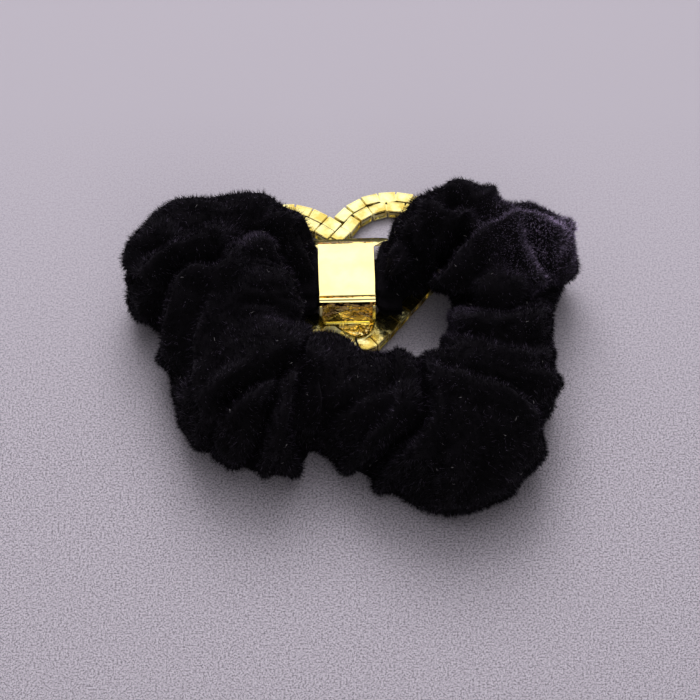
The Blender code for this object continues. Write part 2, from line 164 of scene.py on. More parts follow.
# How high the cover lies: over the floor, and higher inside the disc that the ornament fills,
# most of all in its front part, by the strap
COVER_LOW = 0.3
DISC_MIDDLE = np.array([-1.9, 38.5])
DISC_SHAPE = np.array([1.0, 0.95])
DISC_RADIUS = 33.0
DISC_EDGE = 5.0
OVER_HEART = 4.6
OVER_STRAP = 2.2
STRAP_FROM_Y = 28.0
STRAP_EDGE = 6.0

# The neck: half its length, of which the strap holds the inner part, and half its size there
NECK_HALF_LENGTH = 13.0
NECK_HELD = 6.9
NECK_SWELL_LENGTH = 1.4
NECK_HALF_WIDTH = 6.4
NECK_HALF_HEIGHT = 2.6
NECK_PLEAT_SHARE = 0.07

# Cloth simulation, run ten times as large as the object
SIM_SCALE = 10.0
SIM_FRAMES = 18
SIM_GROWTH = -0.09
SIM_CAP_MM = 2.0
CLOTH_SETTINGS = dict(
    quality=6, mass=0.25, tension_stiffness=12, compression_stiffness=12, shear_stiffness=6,
    bending_stiffness=0.25, air_damping=4, use_pressure=True, uniform_pressure_force=1.2,
    shrink_min=SIM_GROWTH, vertex_group_mass="held", pin_stiffness=6,
)

# Pile, and the crests where extra sheen is painted on to stand in for their highlights: (x, y, z, radius,
# added sheen)
PAINTED_SHEEN_CRESTS = (
    (45, 25, 27, 18, 1.9),
    (50, 28, 22, 11, 1.2),
    (34, 27, 28, 7, 0.4),
    (-18, -4, 24, 8, 0.7),
    (-23, 22, 31, 8, 0.4),
    (26, 2, 24, 8, 0.3),
)
PILE_PIECES = 3
PILE_FIBRES = 46000
BRIGHT_FIBRES = 42000
PILE_LENGTH_MM = (0.75, 1.45)
PILE_RADIUS_MM = 0.075
PILE_SUNK_MM = 0.25
LAY_PATCH_MM = 9
LAY_LEAN = 0.22
TUFT_LEAN = 0.26
FIBRE_LEAN = 0.14
LOWEST_FIBRE = 0.00005
NECK_FIBRES = 9000
TUFT_MM = 0.8
TUFT_LEANS = RNG.normal(size=(4096, 3))
TUFT_LENGTHS = RNG.uniform(0.65, 1.3, 4096)
TUFT_BRIGHTNESS = RNG.uniform(0.0, 1.0, 4096) ** 2.4
LINT_COUNT = 110
LINT_LENGTH_MM = (0.25, 0.9)
LINT_RAISED_MM = 1.15
LINT_RADIUS_MM = 0.05

# The tube is closed into a ring along a plane through these two places, inner and outer
CLOSING_SEAM = ((-13.0, 5.8), (-42.5, -3.5))
CLOSING_SEAM_HEIGHT = 15.0
CLOSING_STITCHES = 20
STITCH_DEPTH = 0.35
STITCH_INWARDS = 0.9
CLOSING_THREAD_RADIUS = 0.2

# The elastic runs this share of the way from the spokes' inner ends to their outer ends, and this
# far over their undersides. Its ends overlap by LAP_STEPS steps, with a thread wound round them
ELASTIC_PLACE = 0.47
ELASTIC_RISE = 4.1
ELASTIC_HALF_WIDTH = 2.0
ELASTIC_HALF_THICKNESS = 0.5
LAP_STEPS = 5
LAP_RISE = 1.3
JOIN_TURNS = 4
JOIN_THREAD_RADIUS = 0.22


# ---- meshes and objects


def ring_place(x, y, z=0.0):
    """A place given in millimetres in the ring's frame, in metres in the frame's."""
    return RING_ORIGIN + Vector((x, y, z)) * MM


def placed(points, origin=RING_ORIGIN):
    """Points given in millimetres from an origin, as rows in metres in the frame."""
    return points.reshape(-1, 3) * MM + np.array(origin)


def turned_frame(origin, yaw):
    """Takes millimetres round an origin, turned about the vertical, to the frame."""
    return Matrix.Translation(origin) @ Matrix.Rotation(yaw, 4, "Z") @ Matrix.Scale(MM, 4)


def unit(vectors):
    return vectors / np.maximum(np.linalg.norm(vectors, axis=-1, keepdims=True), 1e-9)


def linked(name, data):
    obj = bpy.data.objects.new(name, data)
    bpy.context.scene.collection.objects.link(obj)
    return obj


def finished_object(name, mesh, material, smooth=True):
    obj = linked(name, mesh)
    mesh.materials.append(material)
    if smooth:
        mesh.shade_smooth()
    return obj


def mesh_object(name, vertices, faces, material, smooth=True):
    mesh = bpy.data.meshes.new(name)
    mesh.from_pydata([tuple(v) for v in vertices], [], [tuple(f) for f in faces])
    mesh.update()
    return finished_object(name, mesh, material, smooth)


def object_of(name, bm, material, *others, sharp_degrees=None):
    bmesh.ops.recalc_face_normals(bm, faces=bm.faces)
    mesh = bpy.data.meshes.new(name)
    bm.to_mesh(mesh)
    bm.free()
    obj = finished_object(name, mesh, material)
    for other in others:
        mesh.materials.append(other)
    if sharp_degrees is not None:
        mesh.set_sharp_from_angle(angle=math.radians(sharp_degrees))
    return obj


def read_rows(items, field, kind=float):
    """Three numbers of each item, as rows."""
    rows = np.empty(len(items) * 3, kind)
    items.foreach_get(field, rows)
    return rows.reshape(-1, 3)


def points_of(obj):
    return read_rows(obj.data.vertices, "co")


def set_points(obj, points):
    obj.data.vertices.foreach_set("co", np.ascontiguousarray(points, np.float64).ravel())
    obj.data.update()


def apply_modifiers(obj):
    graph = bpy.context.evaluated_depsgraph_get()
    mesh = bpy.data.meshes.new_from_object(obj.evaluated_get(graph))
    obj.modifiers.clear()
    obj.data = mesh


def loft(bm, loops):
    """Joins loops of vertices, each to the next, and closes both ends."""
    for first, second in zip(loops, loops[1:]):
        for i in range(len(first)):
            j = (i + 1) % len(first)
            bm.faces.new((first[i], first[j], second[j], second[i]))
    bm.faces.new(loops[0])
    bm.faces.new(loops[-1])


def declare(obj, slot, body, *nodes):
    """Hides the nodes that a piece stands for and puts it under the body that moves it; slot, what it is made
    of, is not used.
    """
    if nodes:
        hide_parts(*nodes)
    if body == "ring":
        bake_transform(obj)
    else:
        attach(obj, body)


# ---- materials


class Nodes:
    """
    A short way to write a node tree. An input takes a value or another node's output, and an
    underscore stands for the space in its name.
    """

    def __init__(self, owner, shader):
        owner.use_nodes = True
        self.owner = owner
        self.tree = owner.node_tree
        self.shader = self.tree.nodes[shader]

    def fill(self, target, value):
        if isinstance(value, bpy.types.NodeSocket):
            self.tree.links.new(value, target)
        else:
            target.default_value = value

    def add(self, kind, *inputs, **settings):
        node = self.tree.nodes.new(kind)
        for target, value in zip(node.inputs, inputs):
            self.fill(target, value)
        for key, value in settings.items():
            if hasattr(node, key):
                setattr(node, key, value)
            else:
                self.fill(node.inputs[key.replace("_", " ")], value)
        return node

    def set(self, **values):
        for key, value in values.items():
            self.fill(self.shader.inputs[key.replace("_", " ")], value)

    def place(self):
        return self.add("ShaderNodeTexCoord").outputs["Object"]

    def noise(self, scale, detail=3.0, roughness=0.5):
        node = self.add("ShaderNodeTexNoise", Scale=scale, Detail=detail, Roughness=roughness)
        self.fill(node.inputs["Vector"], self.place())
        return node.outputs["Fac"]

    def ramp(self, value, *stops):
        node = self.add("ShaderNodeValToRGB", value)
        elements = node.color_ramp.elements
        for element, (position, colour) in zip(elements, stops):
            element.position = position
            element.color = (*colour, 1.0)
        return node.outputs["Color"]

    def spread(self, value, start, end, low=0.0, high=1.0, easing="LINEAR"):
        """low where the value is at start, high where it is at end."""
        node = self.add("ShaderNodeMapRange", value, start, end, low, high, interpolation_type=easing)
        return node.outputs["Result"]

    def span(self, value, low, high):
        return self.spread(value, 0.3, 0.7, low, high)

    def compare(self, operation, first, second):
        return self.add("ShaderNodeVectorMath", first, second, operation=operation).outputs["Value"]

    def total(self, first, second):
        return self.add("ShaderNodeMath", first, second, operation="ADD").outputs["Value"]

    def mix(self, share, first, second):
        """Two colours mixed; the node has its colours at 6 and 7 and their mixture at 2."""
        node = self.add("ShaderNodeMix", share, data_type="RGBA")
        self.fill(node.inputs[6], first)
        self.fill(node.inputs[7], second)
        return node.outputs[2]

    def bump(self, height, strength, distance):
        node = self.add("ShaderNodeBump", Height=height, Strength=strength, Distance=distance)
        self.set(Normal=node.outputs["Normal"])


def material_nodes(name):
    return Nodes(bpy.data.materials.new(name), "Principled BSDF")


def velvet_cloth():
    """The cloth under the pile: near black, with the pile's lay in soft patches."""
    n = material_nodes("velvet_cloth")
    lay = n.noise(140.0, 4.0, 0.6)
    n.set(Base_Color=n.ramp(lay, (0.3, (0.0008, 0.0005, 0.0010)), (0.7, (0.0022, 0.0015, 0.0028))))
    n.set(Roughness=0.92, Specular_IOR_Level=0.15)
    n.set(Sheen_Weight=n.span(lay, 0.02, 0.10), Sheen_Roughness=0.45, Sheen_Tint=(0.62, 0.55, 0.74, 1.0))
    n.bump(n.noise(2600.0, 2.0), 0.6, 0.0004)
    return n.owner


def velvet_pile(name, colour, sheen, roughness, gloss):
    """Standing pile: black fibres whose sheen comes and goes with their lay, with painted sheen added on the
    crests where highlights fall.
    """
    n = material_nodes(name)
    weight = n.span(n.noise(170.0, 5.0, 0.65), *sheen)
    # Painted sheen: more sheen round each listed crest, standing in for its highlight
    for x, y, z, radius, extra in PAINTED_SHEEN_CRESTS:
        distance = n.compare("DISTANCE", n.place(), ring_place(x, y, z))
        weight = n.total(weight, n.spread(distance, radius * MM, 0.0, 0.0, extra, "SMOOTHSTEP"))
    n.set(Base_Color=(*colour, 1.0), Roughness=roughness, Specular_IOR_Level=gloss)
    n.set(Sheen_Weight=weight, Sheen_Roughness=0.35, Sheen_Tint=(0.66, 0.53, 0.82, 1.0))
    return n.owner


def polished_gold(name, low, high, roughness, dent_size, dent_depth):
    """Plated gold: a slow colour drift, fine polishing wear in the roughness and a faint unevenness."""
    n = material_nodes(name)
    colour = n.ramp(n.noise(560 / dent_size, 4.0), (0.38, low), (0.62, high))
    wear = n.span(n.noise(900.0, 5.0, 0.7), roughness, roughness + 0.10)
    n.set(Base_Color=colour, Metallic=1.0, Roughness=wear)
    n.bump(n.noise(1000 / dent_size, 2.0), 1.0, dent_depth * MM)
    return n.owner


def plain(name, scale, low, high, **values):
    """A colour that drifts between two shades."""
    n = material_nodes(name)
    n.set(Base_Color=n.ramp(n.noise(scale), (0.3, low), (0.7, high)), **values)
    return n.owner


def woven_elastic():
    n = material_nodes("woven_elastic")
    wave = n.add("ShaderNodeTexWave", n.place(), bands_direction="Y", Scale=900.0)
    stops = (0.2, (0.012, 0.012, 0.013)), (0.8, (0.035, 0.034, 0.036))
    n.set(Base_Color=n.ramp(wave.outputs["Fac"], *stops), Roughness=0.8)
    return n.owner


def pale_floor():
    """A pale lilac-grey leatherette: pebbled grain that softens away from the camera."""
    n = material_nodes("pale_floor")
    stops = (0.455, (0.09, 0.082, 0.098)), (0.512, (0.475, 0.441, 0.497))
    pebbles = n.ramp(n.noise(2100.0, 6.0, 0.95), *stops)
    from_front = n.add("ShaderNodeSeparateXYZ", n.place()).outputs["Y"]
    nearness = n.spread(from_front, GRAIN_GONE_Y, GRAIN_FULL_Y)
    n.set(Base_Color=n.mix(nearness, (0.372, 0.346, 0.392, 1.0), pebbles))
    n.set(Roughness=0.75, Specular_IOR_Level=0.25)
    return n.owner


VELVET = velvet_cloth()
PILE = velvet_pile("velvet_pile", (0.0007, 0.0003, 0.0011), (0.0, 0.03), 0.7, 0.08)
# Painted glints: these fibres are lighter and carry more sheen than the dark pile, standing in for fibres
# that catch the light; their gloss also reflects real light
GLINT_PILE = velvet_pile("velvet_glint_pile", (0.011, 0.0070, 0.016), (0.0, 0.50), 0.32, 0.5)
GOLD = polished_gold("polished_gold", (0.97, 0.84, 0.34), (1.0, 0.90, 0.42), 0.06, 4.0, 0.02)
CUP_GOLD = polished_gold("cup_gold", (0.66, 0.50, 0.12), (0.93, 0.86, 0.42), 0.18, 2.2, 0.24)
# Painted shade: a near-black gold for the cups' deep windows and pockets and the notches between cups
RECESS_SHADE_GOLD = polished_gold("recess_shade_gold", (0.02, 0.012, 0.004), (0.08, 0.05, 0.014), 0.45, 2.0, 0.2)
# Painted reflection and shade: a deep amber gold for the strap faces that in_shade picks and for the bridge's
# narrow tip
AMBER_GOLD = polished_gold("amber_gold", (0.42, 0.18, 0.035), (1.0, 0.78, 0.28), 0.10, 3.2, 1.6)
# Clear cut stones over a silvered back
GLASS = plain(
    "stone_glass", 400.0, (0.86, 0.88, 0.92), (0.95, 0.96, 1.0),
    Metallic=0.75, Roughness=0.04, Coat_Weight=1.0, Coat_Roughness=0.01,
)
ELASTIC = woven_elastic()
THREAD = plain("twisted_thread", 3000.0, (0.01, 0.01, 0.012), (0.03, 0.03, 0.034), Roughness=0.6)
LINT = plain("lint", 900.0, (0.30, 0.28, 0.30), (0.55, 0.52, 0.54), Roughness=0.8)
FLOOR = pale_floor()


# ---- the velvet cover


def smooth_rows(rows, count):
    """count even rows along the smooth curve through these rows of numbers."""
    rows = np.array(rows, float)
    padded = np.vstack([2 * rows[0] - rows[1], rows, 2 * rows[-1] - rows[-2]])
    position = np.linspace(0, len(rows) - 1, count)
    index = np.minimum(position.astype(int), len(rows) - 2)
    t = (position - index)[:, None]
    a, b, c, d = (padded[index + k] for k in range(4))
    return 0.5 * (2 * b + (c - a) * t + (2 * a - 5 * b + 4 * c - d) * t**2 + (3 * b - a - 3 * c + d) * t**3)


def even_rows(rows, count):
    """The same curve with its rows evenly spaced along the strand's middle."""
    fine = smooth_rows(rows, 1200)
    middle = (fine[:, 0:2] + fine[:, 2:4]) / 2
    steps = np.linalg.norm(np.diff(middle, axis=0), axis=1)
    along = np.concatenate([[0], np.cumsum(steps)])
    wanted = np.linspace(0, along[-1], count)
    return np.stack([np.interp(wanted, along, fine[:, k]) for k in range(fine.shape[1])], axis=1)


def full_power(values):
    return np.sign(values) * np.abs(values) ** FULLNESS


def full_turn(count):
    """The angles of this many even steps once round."""
    return 2 * np.pi * np.arange(count) / count


def cover_grid():
    """The puffed tube before its creases: an array of points, station by station, in mm."""
    rows = even_rows(SPOKES, COVER_STATIONS)
    angle = full_turn(COVER_ROUND)
    middle = (rows[:, 0:2] + rows[:, 2:4]) / 2
    across = (rows[:, 2:4] - rows[:, 0:2]) / 2
    low, high = rows[:, 4], rows[:, 5]
    sunk = low - UNDERSIDE_FLATNESS * (high - low)
    centre, half = (sunk + high) / 2, (high - sunk) / 2
    side, lift = full_power(np.cos(angle)), full_power(np.sin(angle))
    points = np.empty((COVER_STATIONS, COVER_ROUND, 3))
    points[:, :, 0:2] = middle[:, None] + across[:, None] * side[None, :, None]
    points[:, :, 2] = np.maximum(low[:, None], centre[:, None] + half[:, None] * lift[None, :])
    return points


def grid_normals(points):
    along = np.gradient(points, axis=0)
    around = np.roll(points, -1, axis=1) - np.roll(points, 1, axis=1)
    normals = unit(np.cross(along, around))
    outwards = points - points.mean(axis=1, keepdims=True)
    return normals * np.sign((normals * outwards).sum(axis=2).mean())


def distance_to_stroke(flat, stroke):
    """The distance of each flat point to a polyline."""
    best = np.full(len(flat), np.inf)
    for start, end in zip(stroke, stroke[1:]):
        a, d = np.array(start), np.array(end) - np.array(start)
        t = np.clip(((flat - a) @ d) / (d @ d), 0, 1)
        best = np.minimum(best, np.linalg.norm(flat - a - t[:, None] * d, axis=1))
    return best


def rounded_stroke(stroke):
    """A stroke's corners drawn as a smooth curve."""
    return [tuple(p) for p in smooth_rows(stroke, 4 * len(stroke))]


def groove(distance, depth, width):
    """How far a crease pulls in at this distance, with the cloth swelling beside it."""
    valley = np.exp(-((distance / width) ** 2))
    shoulder = np.exp(-(((distance - 2.4 * width) / (1.3 * width)) ** 2))
    return depth * (valley - SHOULDER * shoulder)


def facing_share(normals):
    """1 where the cover faces the camera, 0 where it turns away."""
    towards = np.array([0.0, -math.cos(VIEW_ELEVATION), math.sin(VIEW_ELEVATION)])
    return np.clip((normals @ towards) * 4.0 + 0.4, 0, 1)


def crease_depths(points, normals):
    """The pull of the drawn creases on the side that faces the camera, and how firmly each is held."""
    up = np.array([0.0, math.sin(VIEW_ELEVATION), math.cos(VIEW_ELEVATION)])
    flat = np.stack([points[..., 0].ravel(), (points @ up).ravel()], axis=1)
    facing = facing_share(normals).ravel()
    pull, hold = np.zeros(len(flat)), np.zeros(len(flat))
    for depth, width, stroke in CREASES:
        distance = distance_to_stroke(flat, rounded_stroke(stroke))
        pull += groove(distance, depth, width) * facing
        hold = np.maximum(hold, np.exp(-((distance / width) ** 2)) * facing)
    return pull.reshape(points.shape[:2]), hold.reshape(points.shape[:2])


def pleat_depths():
    """Creases across the strand on the sides the drawn ones don't reach, each over part of its girth."""
    stations = np.arange(COVER_STATIONS)[:, None] / COVER_STATIONS
    turns = np.arange(COVER_ROUND)[None, :] / COVER_ROUND
    pull = np.zeros((COVER_STATIONS, COVER_ROUND))
    for i in range(BACK_PLEATS):
        middle = (i + RNG.uniform(0.2, 0.8)) / BACK_PLEATS
        lean, start, reach = RNG.uniform(-0.05, 0.05), RNG.uniform(0, 1), RNG.uniform(0.15, 0.3)
        around = np.abs((turns - start + 0.5) % 1 - 0.5)
        fade = np.clip(1 - (around / reach) ** 2, 0, 1)
        line = middle + lean * np.sin(2 * np.pi * (turns - start))
        distance = np.abs(stations - line) * STRAND_LENGTH
        pull += groove(distance, BACK_PLEAT_DEPTH, BACK_PLEAT_WIDTH) * fade
    return pull


def pleat_wave(turn):
    """Lengthwise pleats, unevenly spread round the strand."""
    return np.cos(MOUTH_PLEATS * turn + 1.3 * np.sin(2 * turn))


def mouth_depths():
    """Lengthwise pleats where the strap squeezes each end of the cover."""
    from_end = np.minimum(np.arange(COVER_STATIONS), np.arange(COVER_STATIONS)[::-1])
    spacing = STRAND_LENGTH / COVER_STATIONS
    fade = np.clip(1 - from_end * spacing / MOUTH_REACH, 0, 1)[:, None]
    return MOUTH_PLEAT_DEPTH * fade * pleat_wave(full_turn(COVER_ROUND))


def ripple_heights(points):
    """Soft unevenness all over."""
    flat = points.reshape(-1, 3) / RIPPLE_SIZE
    values = [noise.noise(Vector(p)) + 0.5 * noise.noise(Vector(p) * 2.3) for p in flat]
    return RIPPLE_HEIGHT * np.array(values).reshape(points.shape[:2])


def kept_clear(points):
    """The cover lies on the floor, and over the ornament it rests just above the gold."""
    from_middle = np.linalg.norm((points[..., 0:2] - DISC_MIDDLE) / DISC_SHAPE, axis=-1)
    clearance = OVER_HEART + OVER_STRAP * np.clip((STRAP_FROM_Y - points[..., 1]) / STRAP_EDGE, 0, 1)
    lowest = COVER_LOW + clearance * np.clip((DISC_RADIUS - from_middle) / DISC_EDGE, 0, 1)
    points[..., 2] = np.maximum(points[..., 2], lowest)
    return points


def grid_faces(stations, around):
    i, j = np.meshgrid(np.arange(stations - 1), np.arange(around), indexing="ij")
    k = (j + 1) % around
    corners = [i * around + j, i * around + k, (i + 1) * around + k, (i + 1) * around + j]
    return np.stack(corners, axis=-1).reshape(-1, 4)


def simulate_cloth(obj, hold):
    """Inflates the cover as cloth that is a little too large for its creases, so that it wrinkles."""
    start = points_of(obj)
    centre = start.mean(axis=0)
    set_points(obj, (start - centre) * SIM_SCALE)
    group = obj.vertex_groups.new(name="held")
    for level in range(1, 11):
        chosen = np.nonzero(np.round(hold.ravel() * 10).astype(int) == level)[0]
        if len(chosen):
            group.add(chosen.tolist(), level / 10, "REPLACE")
    cloth = obj.modifiers.new("cloth", "CLOTH")
    for key, value in CLOTH_SETTINGS.items():
        setattr(cloth.settings, key, value)
    cloth.settings.effector_weights.gravity = 0
    cloth.collision_settings.use_collision = False
    cloth.point_cache.frame_start = 1
    cloth.point_cache.frame_end = SIM_FRAMES
    for number in range(1, SIM_FRAMES + 1):
        bpy.context.scene.frame_set(number)
    apply_modifiers(obj)
    bpy.context.scene.frame_set(1)
    moved = points_of(obj) / SIM_SCALE + centre - start
    size = np.linalg.norm(moved, axis=1, keepdims=True)
    moved *= np.minimum(1, SIM_CAP_MM * MM / np.maximum(size, 1e-9))
    set_points(obj, start + moved)
    obj.vertex_groups.clear()


def velvet_cover():
    """The gathered tube, from one side of the strap round to the other."""
    points = cover_grid()
    normals = grid_normals(points)
    pull, hold = crease_depths(points, normals)
    pull += pleat_depths() * (1 - 0.8 * facing_share(normals)) * (1 - 0.75 * hold)
    pull += mouth_depths() - ripple_heights(points)
    points = points - normals * pull[..., None]
    hold[[0, 1, -2, -1]] = 1.0
    faces = grid_faces(COVER_STATIONS, COVER_ROUND)
    obj = mesh_object("velvet_cover", placed(points), faces, VELVET)
    simulate_cloth(obj, hold)
    inside_ring = (points_of(obj) - np.array(RING_ORIGIN)) / MM
    set_points(obj, placed(kept_clear(inside_ring)))
    subdivision = obj.modifiers.new("subdivision", "SUBSURF")
    subdivision.levels = subdivision.render_levels = 1
    apply_modifiers(obj)
    obj.data.shade_smooth()
    return obj


def velvet_neck():
    """The strand where the strap squeezes it, pleated lengthwise, swelling at both sides of the strap."""
    stations, around = 60, 72
    x = np.linspace(-NECK_HALF_LENGTH, NECK_HALF_LENGTH, stations)[:, None]
    swell = np.clip((np.abs(x) - NECK_HELD) / NECK_SWELL_LENGTH, 0, 1) ** 0.8
    half_width, half_height = NECK_HALF_WIDTH + 4.0 * swell, NECK_HALF_HEIGHT + 1.05 * swell
    turn = full_turn(around)
    pleats = 1 + NECK_PLEAT_SHARE * pleat_wave(turn)
    points = np.empty((stations, around, 3))
    points[:, :, 0] = x
    points[:, :, 1] = half_width * np.cos(turn) * pleats + swell
    points[:, :, 2] = half_height * np.sin(turn) * pleats + 0.7 * swell
    return mesh_object("velvet_neck_cloth", placed(points, NECK), grid_faces(stations, around), VELVET)


# ---- pile and lint


def surface_sample(obj, count):
    """Evenly spread places on a mesh, with their normals."""
    obj.data.calc_loop_triangles()
    corners = read_rows(obj.data.loop_triangles, "vertices", np.int32)
    points, normals = points_of(obj), read_rows(obj.data.vertex_normals, "vector")
    a, b, c = (points[corners[:, k]] for k in range(3))
    areas = np.linalg.norm(np.cross(b - a, c - a), axis=1)
    chosen = corners[RNG.choice(len(corners), size=count, p=areas / areas.sum())]
    u, v = RNG.random((2, count))
    over = u + v > 1
    u[over], v[over] = 1 - u[over], 1 - v[over]
    weights = np.stack([1 - u - v, u, v], axis=1)[..., None]
    return (points[chosen] * weights).sum(axis=1), unit((normals[chosen] * weights).sum(axis=1))


def lay_field(place):
    """The way the pile leans, in patches a few millimetres wide."""
    x, y, z = (place / (LAY_PATCH_MM * MM)).T
    leans = (
        np.sin(1.7 * x + 2.3 * y + 0.6) + np.sin(3.1 * z - 1.4 * y),
        np.sin(2.1 * y - 1.3 * z + 2.1) + np.sin(2.9 * x + 1.1 * z),
        np.sin(1.9 * z + 1.6 * x) - 0.6,
    )
    return np.stack(leans, axis=1)


def spikes(name, place, direction, length, radius, material):
    """One closed, pointed fibre at each place, as a single mesh."""
    count = len(place)
    side = unit(np.cross(direction, RNG.normal(size=(count, 3))))
    other = np.cross(direction, side)
    root = place - direction * PILE_SUNK_MM * MM
    vertices = np.empty((count, 4, 3), np.float32)
    for k in range(3):
        turn = 2 * math.pi * k / 3
        vertices[:, k] = root + (side * math.cos(turn) + other * math.sin(turn)) * radius
    vertices[:, 3] = place + direction * length[:, None]
    vertices[..., 2] = np.maximum(vertices[..., 2], LOWEST_FIBRE)
    pattern = np.array([[0, 1, 3], [1, 2, 3], [2, 0, 3], [2, 1, 0]], np.int32)
    faces = (pattern[None] + 4 * np.arange(count, dtype=np.int32)[:, None, None]).reshape(-1, 3)
    mesh = bpy.data.meshes.new(name)
    mesh.vertices.add(count * 4)
    mesh.vertices.foreach_set("co", vertices.ravel())
    mesh.loops.add(len(faces) * 3)
    mesh.loops.foreach_set("vertex_index", faces.ravel())
    mesh.polygons.add(len(faces))
    mesh.polygons.foreach_set("loop_start", np.arange(0, len(faces) * 3, 3, dtype=np.int32))
    mesh.update(calc_edges=True)
    mesh.validate()
    return finished_object(name, mesh, material, smooth=False)


def tuft_of(place):
    """The number of the small cube that each place lies in, so that fibres near each other lean together."""
    cells = np.floor(place / (TUFT_MM * MM)).astype(np.int64)
    return (cells @ np.array([73856093, 19349663, 83492791])) % len(TUFT_LEANS)


def pile_on(obj, name, count, longest=1.0, material=PILE, bare_half=0.0, by_tuft=False):
    """
    Pile all over a cloth, but none within bare_half of the neck's middle, where the strap holds it.
    With by_tuft a share of each tuft's fibres is kept, large in a few tufts and small in most.
    """
    place, normal = surface_sample(obj, count)
    kept = np.abs(place[:, 0] - NECK.x) > bare_half * MM
    if by_tuft:
        kept &= RNG.uniform(size=len(place)) < TUFT_BRIGHTNESS[tuft_of(place)]
    place, normal = place[kept], normal[kept]
    tuft = tuft_of(place)
    lean = lay_field(place) * LAY_LEAN + TUFT_LEANS[tuft] * TUFT_LEAN
    direction = unit(normal + (lean + RNG.normal(size=place.shape) * FIBRE_LEAN))
    low, high = PILE_LENGTH_MM
    length = RNG.uniform(low, high, len(place)) * TUFT_LENGTHS[tuft] * longest * MM
    return spikes(name, place, direction, length, PILE_RADIUS_MM * MM, material)


def pile_pieces(cover):
    share = 1
    dark = [pile_on(cover, f"velvet_pile_{i}", PILE_FIBRES // share) for i in range(PILE_PIECES)]
    # Painted glints: the lighter pile, kept mostly in a few tufts
    bright = pile_on(cover, "velvet_glint_pile", BRIGHT_FIBRES // share, 1.05, GLINT_PILE, by_tuft=True)
    return [*dark, bright]


def lint_specks(cover):
    """A few pale stray fibres caught on the pile."""
    place, normal = surface_sample(cover, LINT_COUNT)
    flat = unit(np.cross(normal, RNG.normal(size=place.shape)))
    length = RNG.uniform(*LINT_LENGTH_MM, LINT_COUNT) * MM
    place = place + normal * LINT_RAISED_MM * MM
    return spikes("lint_specks", place, flat, length, LINT_RADIUS_MM * MM, LINT)


# ---- the heart


HEART_FRAME = turned_frame(ring_place(-2.2, 39.7), math.radians(8.5))
LOBE_OFFSET = 13.0
LOBE_RADIUS = 13.0
LEG_ANGLE = math.radians(45.5)
TIP_RADIUS = 6.2
VALLEY_HEADING = math.radians(225)
CROSSING_TAIL = 6.4
ROW_PITCH = 3.1
CUP_WIDTH = 2.95
CUP_HEIGHT = 2.7
CUP_BACK_Z = 3.1
CUP_GAP = 0.34
CUP_BEVEL = 0.11
WEB_LENGTH = 0.8
WEB_HEIGHT = 1.1
STONE_PITCH = 4.2
STONE_INSET = 0.75
STONE_LOW = 0.12
ROW_GAP = 0.3
CUP_TILT = math.radians(3.6)
TIP_LEAN = 0.15
TIP_LEAN_FROM = -14.0
TIP_LEAN_LENGTH = 9.0

# How far a cup's faces are sunk inside their rims: (rim, depth)
SIDE_WINDOW = (0.40, 0.9)
STONE_POCKET = (0.28, 1.5)
BACK_DISH = (0.35, 0.04)

# A step-cut stone from its back to its table: (height, share of its width)
STONE_STEPS = ((1.35, 0.55), (0.95, 1.0), (0.75, 1.0), (0.25, 0.82), (0.0, 0.6))


def heart_point(distance, offset):
    """Place and heading this far from the tip along the right half, on the line offset inwards."""
    tip_radius, lobe_radius = TIP_RADIUS - offset, LOBE_RADIUS - offset
    normal = Vector((math.sin(LEG_ANGLE), -math.cos(LEG_ANGLE)))
    tip_centre = Vector((0, (LOBE_OFFSET * normal.x + LOBE_RADIUS - TIP_RADIUS) / normal.y))
    leg = Vector((math.cos(LEG_ANGLE), math.sin(LEG_ANGLE)))
    leg_length = (Vector((LOBE_OFFSET, 0)) - tip_centre).dot(leg)
    if distance < tip_radius * LEG_ANGLE:
        heading = distance / tip_radius
        return tip_centre + tip_radius * Vector((math.sin(heading), -math.cos(heading))), heading
    distance -= tip_radius * LEG_ANGLE
    if distance < leg_length:
        return tip_centre + tip_radius * normal + leg * distance, LEG_ANGLE
    distance -= leg_length
    heading = min(VALLEY_HEADING, LEG_ANGLE + distance / lobe_radius)
    distance -= (heading - LEG_ANGLE) * lobe_radius
    on_lobe = Vector((LOBE_OFFSET, 0)) + lobe_radius * Vector((math.sin(heading), -math.cos(heading)))
    return on_lobe + distance * Vector((math.cos(heading), math.sin(heading))), heading


def row_length(side, offset):
    """Each row's own length: three end against a crossing row, the right inner one runs on past it."""
    leg = LOBE_OFFSET * math.cos(LEG_ANGLE)
    leg += (LOBE_OFFSET * math.sin(LEG_ANGLE) + LOBE_RADIUS - TIP_RADIUS) * math.tan(LEG_ANGLE)
    tip = (TIP_RADIUS - offset) * LEG_ANGLE
    lobe = (LOBE_RADIUS - offset) * (VALLEY_HEADING - LEG_ANGLE)
    to_crossing = LOBE_OFFSET * math.sqrt(2) - LOBE_RADIUS
    if side < 0:
        stub = to_crossing + ROW_PITCH / 2 - CUP_WIDTH / 2 - ROW_GAP
    elif offset < 0:
        stub = to_crossing - ROW_PITCH / 2 - CUP_WIDTH / 2 - ROW_GAP
    else:
        stub = to_crossing + CROSSING_TAIL
    return tip + leg + lobe + stub


def cup_cell(length):
    """One stone cup, back upwards: a bevelled box with a pocket in front and a window in each side."""
    bm = bmesh.new()
    bmesh.ops.create_cube(bm, size=1.0)
    bmesh.ops.scale(bm, vec=(length, CUP_WIDTH, CUP_HEIGHT), verts=bm.verts)
    bmesh.ops.bevel(bm, geom=bm.edges[:], offset=CUP_BEVEL, segments=2, affect="EDGES")
    bm.faces.ensure_lookup_table()
    bm.normal_update()
    for face in sorted(bm.faces, key=lambda f: -f.calc_area())[:6]:
        normal = face.normal.copy()
        if abs(normal.y) > 0.9:
            sink_face(bm, face, *SIDE_WINDOW)
        elif normal.z < -0.9:
            sink_face(bm, face, *STONE_POCKET)
        elif normal.z > 0.9:
            sink_face(bm, face, *BACK_DISH)
    return bm


